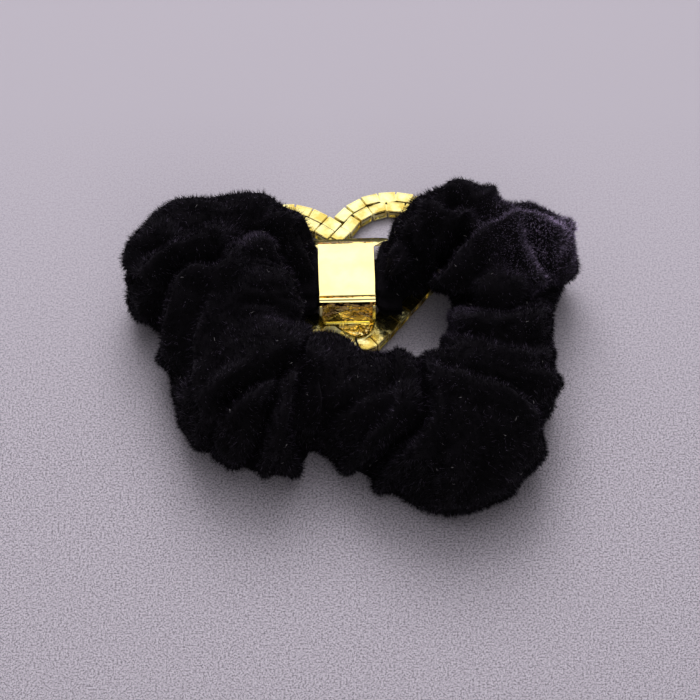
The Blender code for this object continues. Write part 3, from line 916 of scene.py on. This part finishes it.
def sink_face(bm, face, rim, depth):
    """Leaves a rim round the face and lowers the rest, with near-upright walls; a deep recess is painted with
    shade.
    """
    bmesh.ops.inset_region(bm, faces=[face], thickness=rim, depth=0.0)
    bmesh.ops.inset_region(bm, faces=[face], thickness=0.03, depth=-depth)
    face.material_index = 1 if depth > 0.1 else 0


def heart_matrix(side, distance, offset, height):
    point, heading = heart_point(distance, offset)
    turn = heading if side > 0 else math.pi - heading
    place = Matrix.Translation((side * point.x, point.y, height))
    return HEART_FRAME @ place @ Matrix.Rotation(turn, 4, "Z")


def bend_cup(cell, side, mark, offset):
    """Sets a straight cup along its row, its ends square to the row, each a little out of true."""
    tilt = Matrix.Rotation(RNG.normal() * CUP_TILT, 4, "X") @ Matrix.Rotation(RNG.normal() * CUP_TILT, 4, "Y")
    cell.transform(tilt)
    height = CUP_BACK_Z - CUP_HEIGHT / 2 + RNG.uniform(-0.06, 0.02)
    for vert in cell.verts:
        x, y, z = vert.co
        point, heading = heart_point(mark + x, offset)
        inwards = Vector((-math.sin(heading), math.cos(heading)))
        spot = point + inwards * y * side
        vert.co = (side * spot.x, spot.y, z + height)
    lean_cup(cell)
    cell.transform(HEART_FRAME)


def lean_cup(cell):
    """Near the tip the cups hang a little forwards, so that their backs catch the light."""
    middle = sum(v.co.y for v in cell.verts) / len(cell.verts)
    lean = TIP_LEAN * min(1.0, max(0.0, (TIP_LEAN_FROM - middle) / TIP_LEAN_LENGTH))
    for vert in cell.verts:
        vert.co.z += (vert.co.y - middle) * lean + 1.2 * lean


def add_block(bm, size, matrix):
    block = bmesh.ops.create_cube(bm, size=1.0, matrix=matrix @ Matrix.Diagonal((*size, 1.0)))
    return block["verts"]


def row_marks(side, offset):
    """The middles of a row's cups, and their pitch."""
    start, length = ROW_GAP / 2, row_length(side, offset)
    count = round(length / STONE_PITCH)
    pitch = (length - start) / count
    return [start + pitch * (i + 0.5) for i in range(count)], pitch


def cup_row(name, side, offset):
    """A row of cups joined by short webs, so that a fine notch shows between two cups."""
    marks, pitch = row_marks(side, offset)
    whole = bmesh.new()
    for mark in marks:
        cell = cup_cell(pitch - CUP_GAP)
        bend_cup(cell, side, mark, offset)
        scratch = bpy.data.meshes.new("cup")
        cell.to_mesh(scratch)
        cell.free()
        whole.from_mesh(scratch)
        bpy.data.meshes.remove(scratch)
    for mark in marks[:-1]:
        web = (WEB_LENGTH, CUP_WIDTH * 0.7, WEB_HEIGHT)
        middle = heart_matrix(side, mark + pitch / 2, offset, CUP_BACK_Z - WEB_HEIGHT)
        corners = add_block(whole, web, middle)
        # Painted shade in the notch: the faces round one corner of each web take the shade gold
        for face in corners[0].link_faces:
            face.material_index = 1
    return object_of(name, whole, CUP_GOLD, RECESS_SHADE_GOLD, sharp_degrees=35)


def add_stone(bm, matrix, length, width):
    """A step-cut baguette, table down: girdle, one step and a flat table."""
    corners = ((-1, -1), (1, -1), (1, 1), (-1, 1))
    loops = []
    for height, share in STONE_STEPS:
        half_length = length / 2 - (1 - share) * width * 0.55
        half_width = width / 2 * share
        spots = [Vector((x * half_length, y * half_width, height)) for x, y in corners]
        loops.append([bm.verts.new(matrix @ spot) for spot in spots])
    loft(bm, loops)


def stone_run(name, side, offset, in_lobe):
    """The stones of a row's leg or lobe half."""
    marks, pitch = row_marks(side, offset)
    half = len(marks) // 2
    bm = bmesh.new()
    length, width = pitch - CUP_GAP - STONE_INSET, CUP_WIDTH - STONE_INSET
    for mark in marks[half:] if in_lobe else marks[:half]:
        add_stone(bm, heart_matrix(side, mark, offset, STONE_LOW), length, width)
    return object_of(name, bm, GLASS, sharp_degrees=10)


def heart_rows():
    for side_name, side in (("right", 1), ("left", -1)):
        for row_name, offset in (("outer", -ROW_PITCH / 2), ("inner", ROW_PITCH / 2)):
            label = f"{side_name}_{row_name}"
            row = cup_row(f"cup_row_{label}", side, offset)
            declare(row, "gold", "ornament", f"heart_row_{label}")
            for part in ("leg", "lobe"):
                stones = stone_run(f"cut_stones_{label}_{part}", side, offset, part == "lobe")
                declare(stones, "stones", "ornament", f"stones_{label}_{part}")


# ---- the strap and the bridge plate


STRAP_FRAME = turned_frame(ring_place(-0.35, 25.3), math.radians(1.6))
STRAP_LENGTH = 19.4
STRAP_WIDTH = 13.4
STRAP_LOW = 4.3
STRAP_HIGH = 12.9
SHEET = 0.55
BEND_RADIUS = 1.25
FAR_BEND_RADIUS = 2.0
LAP_FROM_FRONT = 1.75
LAP_STEP = 0.28


def bend(centre, radius, start, end, steps=6):
    """Points of an arc in the strap's side view, angles in degrees."""
    angles = [math.radians(start + (end - start) * i / steps) for i in range(steps + 1)]
    return [(centre[0] + radius * math.cos(a), centre[1] + radius * math.sin(a)) for a in angles]


def strap_line():
    """The sheet's outer line from its lap on the top, round the front, bottom and back, to the top again."""
    half, low, high, r = STRAP_LENGTH / 2, STRAP_LOW, STRAP_HIGH, BEND_RADIUS
    lap = -half + LAP_FROM_FRONT
    under = high - LAP_STEP
    line = [(lap + 1.6, under), (lap - 0.1, under)]
    line += bend((-half + r, under - r), r, 90, 180)
    line += bend((-half + r, low + r), r, 180, 270)
    line += bend((half - r, low + r), r, 270, 360)
    line += bend((half - FAR_BEND_RADIUS, high - FAR_BEND_RADIUS), FAR_BEND_RADIUS, 0, 90, 10)
    line += [(half * 0.4, high), (0.0, high), (-half * 0.4, high), (lap + 0.35, high)]
    line += [(lap + 0.1, high - 0.02), (lap, high - 0.08)]
    return line


def in_shade(face):
    """The strap's front leg, far bend and the strip of its lower sheet beside the lap look amber."""
    middle, half = face.calc_center_median(), STRAP_LENGTH / 2
    front_leg = face.normal.y < -0.8 and middle.y < 1 - half
    far_bend = face.normal.y > 0.12 and face.normal.z > 0.1 and middle.z > STRAP_HIGH - FAR_BEND_RADIUS
    beside_lap = face.normal.z > 0.9 and BEND_RADIUS - 0.05 < middle.y + half < LAP_FROM_FRONT
    return front_leg or far_bend or beside_lap


def strap_sheet():
    """The polished sheet loop that the strand runs through, lapped near the front of its top."""
    outer = [Vector(p) for p in strap_line()]
    bm = bmesh.new()
    loops = []
    x = STRAP_WIDTH / 2
    for i, point in enumerate(outer):
        along = (outer[min(i + 1, len(outer) - 1)] - outer[max(i - 1, 0)]).normalized()
        inwards = Vector((-along.y, along.x))
        thickness = SHEET if i > 1 else LAP_STEP
        inner = point + inwards * thickness
        corners = ((-x, point), (x, point), (x, inner), (-x, inner))
        loops.append([bm.verts.new((across, spot.x, spot.y)) for across, spot in corners])
    loft(bm, loops)
    rims = [e for e in bm.edges if all(abs(abs(v.co.x) - x) < 1e-6 for v in e.verts)]
    lengthwise = [e for e in rims if abs(e.verts[0].co.x - e.verts[1].co.x) < 1e-6 and len(e.link_faces) == 2]
    bmesh.ops.bevel(bm, geom=lengthwise, offset=0.10, segments=2, affect="EDGES")
    bmesh.ops.recalc_face_normals(bm, faces=bm.faces)
    for face in bm.faces:
        face.material_index = int(in_shade(face))
    bm.transform(STRAP_FRAME)
    return object_of("strap_sheet", bm, GOLD, AMBER_GOLD, sharp_degrees=30)


def strap_flanges():
    """Raised beads down both ends of the strap's front leg, and the solder fillets at its feet."""
    bm = bmesh.new()
    half = STRAP_LENGTH / 2
    middle, height = (STRAP_LOW + STRAP_HIGH) / 2 - 0.3, STRAP_HIGH - STRAP_LOW - 2.6
    for side in (-1, 1):
        matrix = Matrix.Translation((side * (STRAP_WIDTH / 2 - 0.35), -half - 0.05, middle))
        add_block(bm, (0.7, 0.35, height), matrix)
    for y in (-half + 0.3, half - 0.3):
        add_block(bm, (STRAP_WIDTH * 0.8, 0.8, 0.5), Matrix.Translation((0, y, STRAP_LOW - 0.1)))
    bmesh.ops.bevel(bm, geom=bm.edges[:], offset=0.13, segments=3, affect="EDGES")
    bm.transform(STRAP_FRAME)
    return object_of("strap_flanges", bm, GOLD, sharp_degrees=40)


BRIDGE_OUTLINE = (
    (-9.2, 17.2), (9.4, 17.6), (8.6, 15.2), (6.2, 14.0), (6.4, 2.0), (6.4, -9.0), (4.8, -12.4),
    (2.2, -13.2), (0.2, -12.4), (-3.0, -9.8), (-6.2, -8.5), (-6.2, 2.0), (-6.2, 14.0), (-8.6, 15.0),
)
BRIDGE_MIDDLE = Vector((0.0, 10.0))
BRIDGE_LOW = 2.9
BRIDGE_HIGH = 4.05
BRIDGE_BEND_Y = 15.0
BRIDGE_SLOPE = 0.36
BRIDGE_AMBER_Y = -8.5


def bridge_height(spot, at_rim):
    """The plate's upper side: hammered soft, rounded at its rim and bent down at its far end."""
    dent = 0.16 * noise.noise(Vector((spot.x * 0.35, spot.y * 0.35, 2.0)))
    bend_down = BRIDGE_SLOPE * max(0.0, spot.y - BRIDGE_BEND_Y)
    return BRIDGE_HIGH - bend_down + (-0.12 if at_rim else dent)


def bridge_sheet():
    """The thin plate across the heart's back, dented where it narrows towards the tip and painted amber there
    for reflection and shade.
    """
    bm = bmesh.new()
    rings = 9
    outline = [Vector(p) for p in smooth_rows(BRIDGE_OUTLINE + BRIDGE_OUTLINE[:1], 85)[:-1]]
    top = []
    for ring in range(rings):
        spots = [BRIDGE_MIDDLE + (p - BRIDGE_MIDDLE) * (1 - ring / rings) for p in outline]
        top.append([bm.verts.new((p.x, p.y, bridge_height(p, ring == 0))) for p in spots])
    below = [bm.verts.new((p.x, p.y, BRIDGE_LOW)) for p in outline]
    loft(bm, [below, *top])
    for face in bm.faces:
        face.material_index = int(face.calc_center_median().y < BRIDGE_AMBER_Y)
    bm.transform(STRAP_FRAME)
    return object_of("bridge_sheet", bm, GOLD, AMBER_GOLD, sharp_degrees=50)


def strap_and_bridge():
    declare(strap_sheet(), "gold", "ornament", "strap")
    declare(bridge_sheet(), "gold", "ornament", "bridge_plate")
    declare(strap_flanges(), "gold", "ornament")


# ---- elastic and threads


def lapped_elastic_path():
    """The band's middle line, once round the ring and through the neck, ending over its own start."""
    rows = even_rows(SPOKES, 120)
    middle = rows[:, 0:2] * (1 - ELASTIC_PLACE) + rows[:, 2:4] * ELASTIC_PLACE
    height = rows[:, 4] + ELASTIC_RISE
    ends = np.array([[x, RING_TO_NECK / MM] for x in np.linspace(-9.0, 9.0, 10)])
    loop = np.vstack([np.column_stack([middle, height]), np.column_stack([ends, np.full(10, NECK.z / MM)])])
    join = (centre_of("elastic_join_thread") - RING_ORIGIN) / MM
    start = int(np.argmin(np.hypot(loop[:, 0] - join.x, loop[:, 1] - join.y))) - LAP_STEPS // 2
    steps = np.arange(len(loop) + LAP_STEPS + 1)
    path = loop[(start + steps) % len(loop)]
    path[:, 2] += LAP_RISE * np.clip((steps - len(loop) + 3) / 3, 0.0, 1.0)
    return path


def level_across(path):
    """At each point of a path, the level direction square to it."""
    along = np.gradient(path, axis=0)
    return unit(np.stack([along[:, 1], -along[:, 0], np.zeros(len(path))], axis=1))


def elastic_loop():
    """The woven band inside the cover, its two ends laid over each other."""
    path = lapped_elastic_path()
    across = level_across(path)
    up = np.array([0.0, 0.0, 1.0])
    w, h = ELASTIC_HALF_WIDTH, ELASTIC_HALF_THICKNESS
    points = np.stack([path + across * s + up * t for s, t in ((w, h), (-w, h), (-w, -h), (w, -h))], axis=1)
    end = 4 * len(path)
    faces = grid_faces(len(path), 4)[:, ::-1].tolist()
    faces += [[0, 1, 2, 3], [end - 1, end - 2, end - 3, end - 4]]
    return mesh_object("elastic_loop", placed(points), faces, ELASTIC, smooth=False)


def thread_piece(name, points, radius, cyclic):
    """A round thread through these places, as a mesh."""
    curve = bpy.data.curves.new(name, "CURVE")
    curve.dimensions = "3D"
    curve.bevel_depth = radius * MM
    curve.bevel_resolution = 2
    curve.use_fill_caps = not cyclic
    spline = curve.splines.new("POLY")
    spline.points.add(len(points) - 1)
    for target, point in zip(spline.points, points):
        target.co = (*point, 1.0)
    spline.use_cyclic_u = cyclic
    guide = linked(name + "_guide", curve)
    bpy.context.view_layer.update()
    mesh = bpy.data.meshes.new_from_object(guide.evaluated_get(bpy.context.evaluated_depsgraph_get()))
    bpy.data.objects.remove(guide, do_unlink=True)
    mesh.materials.clear()
    return finished_object(name, mesh, THREAD)


def elastic_join_stitches():
    """The thread wound round the elastic's two overlapped ends."""
    path = lapped_elastic_path()[: LAP_STEPS + 1]
    across = level_across(path)
    clear = JOIN_THREAD_RADIUS + 0.1
    side = ELASTIC_HALF_WIDTH + clear
    low = -ELASTIC_HALF_THICKNESS - clear
    high = LAP_RISE + ELASTIC_HALF_THICKNESS + clear
    corners = ((side, low), (side, high), (-side, high), (-side, low))
    steps = JOIN_TURNS * len(corners)
    points = []
    for step in range(steps):
        share, height = corners[step % len(corners)]
        position = LAP_STEPS * (0.15 + 0.7 * step / steps)
        middle = [np.interp(position, range(len(path)), path[:, k]) for k in range(3)]
        x, y, z = np.array(middle) + across[int(position)] * share
        points.append(ring_place(x, y, z + height))
    return thread_piece("elastic_join_stitches", points, JOIN_THREAD_RADIUS, False)


def closing_seam_stitches(cover):
    """The overcast stitch on the cloth's inner side, all round the tube where it is closed into a ring."""
    inner, outer = (Vector((x, y, CLOSING_SEAM_HEIGHT)) for x, y in CLOSING_SEAM)
    outwards = (outer - inner).normalized()
    centre = ring_place(*((inner + outer) / 2))
    points = []
    for i in range(2 * CLOSING_STITCHES):
        turn = math.pi * i / CLOSING_STITCHES
        direction = outwards * math.cos(turn) + Vector((0, 0, math.sin(turn)))
        found, place, _, _ = cover.ray_cast(centre, direction)
        if not found:
            raise RuntimeError("the closing seam's plane misses the cover")
        point = place + direction * (STITCH_DEPTH * (1 if i % 2 else -1) - STITCH_INWARDS) * MM
        point.z = max(point.z, 1.5 * CLOSING_THREAD_RADIUS * MM)
        points.append(point)
    return thread_piece("closing_seam_stitches", points, CLOSING_THREAD_RADIUS, True)


# ---- stage


def stage_floor():
    bm = bmesh.new()
    bmesh.ops.create_grid(bm, x_segments=2, y_segments=2, size=1.5)
    object_of("floor", bm, FLOOR)


def area_light(name, place, size, power, colour):
    """A square light that looks at the middle of the frame."""
    light = bpy.data.lights.new(name, "AREA")
    light.shape = "SQUARE"
    light.size = size
    light.energy = power
    light.color = colour
    obj = linked(name, light)
    obj.location = place
    obj.rotation_euler = (-Vector(place)).to_track_quat("-Z", "Y").to_euler()
    obj.visible_glossy = False


def lights():
    """A large soft key from high behind and a weak fill overhead; the studio does the rest."""
    area_light("key", (-0.06, 0.68, 0.84), 0.60, 7.8, (1.0, 0.98, 1.0))
    area_light("fill", (0.0, 0.10, 1.0), 0.9, 3.0, (0.98, 0.97, 1.0))


# The studio's soft-edged discs of light: (towards, cosines of the outer and inner edge, radiance)
PANEL = ((0.0, 0.62, 0.79), 0.80, 0.93, 1.35)
SKY = ((0.0, 0.0, 1.0), -0.3, 0.9, 0.30)
WINDOW = ((0.15, -0.75, 0.65), 0.93, 0.98, 1.6)


def surroundings():
    """A soft studio: a broad bright panel behind and above, a dim sky and a small window in front."""
    world = bpy.data.worlds.new("studio")
    bpy.context.scene.world = world
    n = Nodes(world, "Background")
    direction = n.add("ShaderNodeTexCoord").outputs["Generated"]
    strength = 0.0
    for towards, outer, inner, radiance in (PANEL, SKY, WINDOW):
        dot = n.compare("DOT_PRODUCT", direction, Vector(towards).normalized())
        strength = n.total(strength, n.spread(dot, outer, inner, 0.0, radiance, "SMOOTHSTEP"))
    n.set(Color=(1.0, 0.98, 1.0, 1.0), Strength=strength)


def camera():
    data = bpy.data.cameras.new("camera")
    data.lens = LENS_MM
    data.sensor_width = SENSOR_MM
    distance = VIEW_WIDTH * LENS_MM / SENSOR_MM
    obj = linked("camera", data)
    back = Vector((0, -math.cos(VIEW_ELEVATION), math.sin(VIEW_ELEVATION)))
    obj.location = VIEW_TARGET + back * distance
    obj.rotation_euler = (-back).to_track_quat("-Z", "Y").to_euler()
    bpy.context.scene.camera = obj


# ---- the object


def soft_parts():
    cover = velvet_cover()
    neck = velvet_neck()
    pile = pile_pieces(cover)
    neck_pile = pile_on(neck, "velvet_neck_pile", NECK_FIBRES, longest=0.45, bare_half=STRAP_WIDTH / 2 + 0.4)
    specks = lint_specks(cover)
    seam = closing_seam_stitches(cover)
    declare(cover, "velvet", "ring", "velvet_front", "velvet_back_left", "velvet_back_right")
    declare(neck, "velvet", "neck", "velvet_neck")
    for obj in pile:
        declare(obj, "velvet", "ring")
    declare(neck_pile, "velvet", "neck")
    declare(specks, None, "ring")
    declare(elastic_loop(), "elastic", "ring", "elastic_band")
    declare(elastic_join_stitches(), "thread", "ring", "elastic_join_thread")
    declare(seam, "thread", "ring", "closing_seam_thread")


bpy.context.scene.view_settings.view_transform = "Standard"
soft_parts()
heart_rows()
strap_and_bridge()
stage_floor()
lights()
surroundings()
camera()
